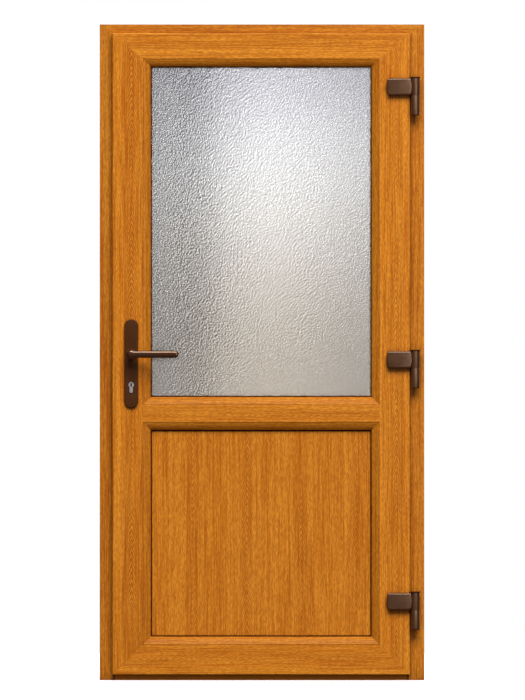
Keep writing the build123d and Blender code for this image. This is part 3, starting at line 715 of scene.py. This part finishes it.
barrel = {
    # radii and heights in millimetres
    "upperRadius": 14.0,
    "lowerRadius": 13.5,
    "lowerHeight": 60.7,
    "pinRadius": 6.0,
    "pinPoint": 0.8,
    "boreRadius": 6.05,
    "boreEnd": 6.0,
    "coreRadius": 0.3,
    "capRadius": 16.4,
    "capHeight": 3.0,
    "capReach": 0.0015,  # the cap's look starts so far below it, in metres
    # steps out and up from a barrel's radius and end, or from the cap's
    "runningEdge": ((-0.5, 0.0), (-0.1, 0.2), (0.0, 0.6)),
    "groove": ((0.0, -1.6), (-0.7, -1.4), (-0.7, 0.0)),
    "capFoot": ((-0.3, 0.0), (0.0, 0.3)),
    "capEdge": ((0.0, -1.2), (-0.4, -0.4), (-1.4, 0.0)),
    "domedFoot": ((8.6, 0.0), (10.6, 0.3), (12.2, 1.1), (13.1, 2.3), (13.5, 4.0)),
    # plates and brackets in metres
    "plateThickness": 0.004,
    "plateHeight": 0.044,
    "armThickness": 0.010,
    "armEnd": 0.010,
    "neckHalf": 0.006,
    "neckHeight": 0.046,
    "neckMiddle": 0.0305,
    "footHalf": 0.010,
    "footThickness": 0.003,
}


def upperBarrel(place, axis):
    low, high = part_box(f"hinge_{place}_leaf_side")
    coverLow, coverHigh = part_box(f"hinge_{place}_cover")
    foot, head = low[2], high[2]
    under = head - barrel["capHeight"] / 1000
    bore, core = barrel["boreRadius"], barrel["coreRadius"]
    profile = (around(bore, foot, [(0, 0)]) + around(barrel["upperRadius"], foot, barrel["runningEdge"])
               + around(barrel["upperRadius"], under, barrel["groove"])
               + around(barrel["capRadius"], under, barrel["capFoot"])
               + around(barrel["capRadius"], head, barrel["capEdge"])
               + around(0, head, [(core, 0), (core, -barrel["boreEnd"]), (bore, -barrel["boreEnd"])]))
    bm = bmesh.new()
    turned(bm, profile, (*axis, 0.0), upright=True, closed=True)
    bottom, top = ((coverLow[2] + coverHigh[2]) / 2 + side * barrel["plateHeight"] / 2 for side in (-1, 1))
    leafFace = max(high[1], coverHigh[1])
    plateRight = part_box("leaf_hinge_stile")[1][0]
    arm = barrel["armThickness"]
    addBlock(bm, (low[0], leafFace - barrel["plateThickness"], bottom), (plateRight, leafFace, top))
    addBlock(bm, (plateRight - arm, leafFace - arm, bottom), (axis[0] - barrel["armEnd"], leafFace, top))
    return meshOf(bm, "upperBarrel"), under


def lowerBarrel(place, axis):
    low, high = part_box(f"hinge_{place}_frame_side")
    foot, pinTop, face = low[2], high[2], high[1]
    head = foot + barrel["lowerHeight"] / 1000
    pin, core = barrel["pinRadius"], barrel["coreRadius"]
    edge = [(out, -up) for out, up in reversed(barrel["runningEdge"])]
    profile = (around(0, foot, ((core, 0), *barrel["domedFoot"])) + around(barrel["lowerRadius"], head, edge)
               + around(pin, head, [(0, 0)])
               + around(pin, pinTop, [(0, -barrel["pinPoint"]), (-barrel["pinPoint"], 0)])
               + around(core, pinTop, [(0, 0)]))
    bm = bmesh.new()
    turned(bm, profile, (*axis, 0.0), upright=True, closed=True)
    bottom, top = (foot + barrel["neckMiddle"] + side * barrel["neckHeight"] / 2 for side in (-1, 1))
    addBlock(bm, (axis[0] - barrel["neckHalf"], axis[1], bottom), (axis[0] + barrel["neckHalf"], face, top))
    addBlock(bm, (axis[0] - barrel["footHalf"], face - barrel["footThickness"], bottom),
             (axis[0] + barrel["footHalf"], face, top))
    return meshOf(bm, "lowerBarrel")


for place in ("bottom", "middle", "top"):
    axis, title = hingeAxis(place), place.capitalize()
    mesh, under = upperBarrel(place, axis)
    upper = addPiece(f"hingeBarrelUpper{title}", mesh, metals["hingeBarrelBrown"], "leaf")
    mesh.materials.append(metals["hingeCapBrown"])
    for poly in mesh.polygons:
        if poly.center.z > under - barrel["capReach"]:
            poly.material_index = 1
    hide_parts(f"hinge_{place}_leaf_side")
    mesh = lowerBarrel(place, axis)
    lower = addPiece(f"hingeBarrelLower{title}", mesh, metals["hingeBarrelBrown"], "frame")
    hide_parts(f"hinge_{place}_frame_side")
print("hinge barrels")


# key plug, with its keyway cut in

plug = {
    "radius": 6.45,
    "frontEdge": ((-0.5, 0.1), (0.0, 0.6)),
    "keywayHalf": 0.0023,
    "keywayLow": -0.0050,
    "keywayHigh": 0.0046,
    "keywayDepth": 0.012,
    "keywayStart": 0.002,  # how far before the plug the cut begins
    # a face belongs to the keyway if it lies within its width and behind the front
    "widthMargin": 0.0001,
    "frontMargin": 0.0005,
}


def plugMesh(low, high):
    axisX, axisZ = (low[0] + high[0]) / 2, (low[2] + high[2]) / 2
    bm = bmesh.new()
    turned(bm, around(plug["radius"], low[1], plug["frontEdge"]) + around(plug["radius"], high[1], [(0, 0)]),
           (axisX, 0.0, axisZ))
    body = meshOf(bm, "plug")
    bm = bmesh.new()
    addBlock(bm, (axisX - plug["keywayHalf"], low[1] - plug["keywayStart"], axisZ + plug["keywayLow"]),
             (axisX + plug["keywayHalf"], low[1] + plug["keywayDepth"], axisZ + plug["keywayHigh"]))
    return cutAway(body, meshOf(bm, "keyway"))


plugLow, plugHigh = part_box("key_plug")
mesh = plugMesh(plugLow, plugHigh)
keyPlug = addPiece("keyPlug", mesh, metals["plugNickel"], "key_plug")
# the keyway's inner faces get the near-black painted shade
mesh.materials.append(metals["keywayPaintedShade"])
for poly in mesh.polygons:
    reach = max(abs(mesh.vertices[v].co.x - spindleX) for v in poly.vertices)
    inWidth = reach < plug["keywayHalf"] + plug["widthMargin"]
    if inWidth and poly.center.y > plugLow[1] + plug["frontMargin"]:
        poly.material_index = 1
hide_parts("key_plug")
print("key plug")


# floor, light and camera

stage = {
    "floorRadius": 2.6,
    "floorSteps": 96,
    "floorShade": (0.97, 0.97, 0.97),
    "floorCloud": (1.2, 3.0, 0.5),
    "floorFall": 0.02,  # how much darker the clouding gets
    "floorRoughness": 0.8,
    "floorLift": 0.25,
    # light from all around: above, below, and beside the camera's line of sight, where it falls off
    "skyAbove": 0.40,
    "skyBelow": 0.12,
    "skyBlend": 0.35,
    "sideShade": 0.12,
    "sideBlend": (0.35, 0.95),
    # where each softbox stands and points, its energy, size and colour, and whether it lights matt faces
    "keyLight": ((1.6, -10.3, 11.3), (0, 0, 1.0), 2380.0, (10.0, 7.5), (1.0, 1.0, 1.0)),
    "topLight": ((0.0, 3.4, 5.0), (0, 1.6, 0), 160.0, (4.5, 3.0), (1.0, 1.0, 1.0)),
    "glintLight": ((2.70, -5.0, 2.2), (0, 0, 1.0), 120.0, (1.6, 4.0), (1.0, 0.95, 0.90), False),
    "backGlint": ((1.0, 8.0, 2.2), (0, 0, 1.2), 190.0, (8.0, 5.0), (1.0, 1.0, 1.0), False),
    "cameraPlace": (0.0015, -30.035, 0.997),
    "lens": 510.9,
    "clipEnd": 90.0,
}

glow = {
    "place": (0.10, 1.10, 1.46),
    "size": (1.7, 1.9),
    "power": 16.6,
    # brightness from the hinge side to the lock side, and tint from the foot to the head
    "across": [(0.0, 0.24), (0.34, 0.44), (0.46, 0.74), (0.54, 1.0), (0.60, 1.0), (0.68, 0.46), (0.76, 0.12),
               (1.0, 0.02)],
    "upward": [(0.0, (0.39, 0.313, 0.218)), (0.26, (0.44, 0.360, 0.266)), (0.43, (0.74, 0.69, 0.61)),
               (0.53, (1.0, 0.985, 0.97)), (0.60, (1.0, 1.0, 1.01)), (0.68, (0.68, 0.67, 0.73)),
               (0.76, (0.44, 0.43, 0.49)), (1.0, (0.24, 0.235, 0.28))],
}


def makeFloor():
    steps, radius = stage["floorSteps"], stage["floorRadius"]
    rim = [(radius * math.cos(i * math.tau / steps), radius * math.sin(i * math.tau / steps), 0)
           for i in range(steps)]
    mesh = bpy.data.meshes.new("floor")
    mesh.from_pydata(rim, [], [tuple(range(steps))])
    floor = bpy.data.objects.new("floor", mesh)
    scene.collection.objects.link(floor)
    mat, shader = newMaterial("paleFloor")
    low = tuple(c - stage["floorFall"] for c in stage["floorShade"])
    cloud = noiseOf(mat, objectCoords(mat), *stage["floorCloud"])
    feed(mat, shader, {
        "Base Color": rampOf(mat, cloud, [(0.3, low), (0.7, stage["floorShade"])]),
        "Roughness": stage["floorRoughness"],
        "Emission Color": (1.0, 1.0, 1.0, 1.0),
        "Emission Strength": stage["floorLift"],
    })
    mesh.materials.append(mat)
    floor.visible_diffuse = False
    floor.visible_glossy = False


def makeWorld():
    world = bpy.data.worlds.new("studio")
    scene.world = world
    world.use_nodes = True
    world.node_tree.nodes.clear()
    coords = addNode(world, "ShaderNodeTexCoord").outputs["Generated"]
    place = addNode(world, "ShaderNodeSeparateXYZ", {0: coords})
    fall = mapRange(world, place.outputs["Z"], -stage["skyBlend"], stage["skyBlend"],
                    stage["skyBelow"], stage["skyAbove"])
    # darker to the left and right, as between two studio flats
    beside = mathOf(world, "ABSOLUTE", place.outputs["X"])
    shade = mapRange(world, beside, *stage["sideBlend"], 1.0, stage["sideShade"])
    white = (1.0, 1.0, 1.0, 1.0)
    soft = addNode(world, "ShaderNodeBackground", {0: white, 1: mathOf(world, "MULTIPLY", fall, shade)})
    paper = addNode(world, "ShaderNodeBackground", {0: white, 1: 1.0})
    path = addNode(world, "ShaderNodeLightPath")
    mix = addNode(world, "ShaderNodeMixShader", {0: path.outputs["Is Camera Ray"], 1: soft.outputs[0],
                                                 2: paper.outputs[0]})
    addNode(world, "ShaderNodeOutputWorld", {"Surface": mix.outputs[0]})


def areaLight(name, place, target, energy, size, color=(1.0, 1.0, 1.0), onMatt=True, throughGlass=False):
    data = bpy.data.lights.new(name, "AREA")
    data.energy = energy
    data.shape = "RECTANGLE"
    data.size, data.size_y = size
    data.color = color
    light = bpy.data.objects.new(name, data)
    light.location = place
    light.rotation_euler = (Vector(target) - Vector(place)).to_track_quat("-Z", "Y").to_euler()
    light.visible_camera = False
    light.visible_diffuse = onMatt
    light.visible_transmission = throughGlass
    scene.collection.objects.link(light)
    return light


def makeGlow():
    # daylight behind the glass, brightest beside its middle
    x, y, z = glow["place"]
    lamp = areaLight("glassGlow", (x, y, z), (x, 0.0, z), glow["power"], glow["size"], throughGlass=True).data
    lamp.use_nodes = True
    emission = lamp.node_tree.nodes["Emission"]
    geometry = addNode(lamp, "ShaderNodeNewGeometry")
    place = addNode(lamp, "ShaderNodeSeparateXYZ", {0: geometry.outputs["Parametric"]})
    across = rampOf(lamp, place.outputs["X"], glow["across"])
    upward = rampOf(lamp, place.outputs["Y"], glow["upward"])
    feed(lamp, emission, {"Color": mixColors(lamp, across, upward, 1.0, "MULTIPLY")})


makeFloor()
makeWorld()
makeGlow()
for name in ("keyLight", "topLight", "glintLight", "backGlint"):
    areaLight(name, *stage[name])

cameraData = bpy.data.cameras.new("camera")
cameraData.lens = stage["lens"]
cameraData.clip_end = stage["clipEnd"]
camera = bpy.data.objects.new("camera", cameraData)
camera.location = stage["cameraPlace"]
camera.rotation_euler = (math.radians(90), 0, 0)
scene.collection.objects.link(camera)
scene.camera = camera
scene.view_settings.view_transform = "Standard"
print("floor, light and camera")
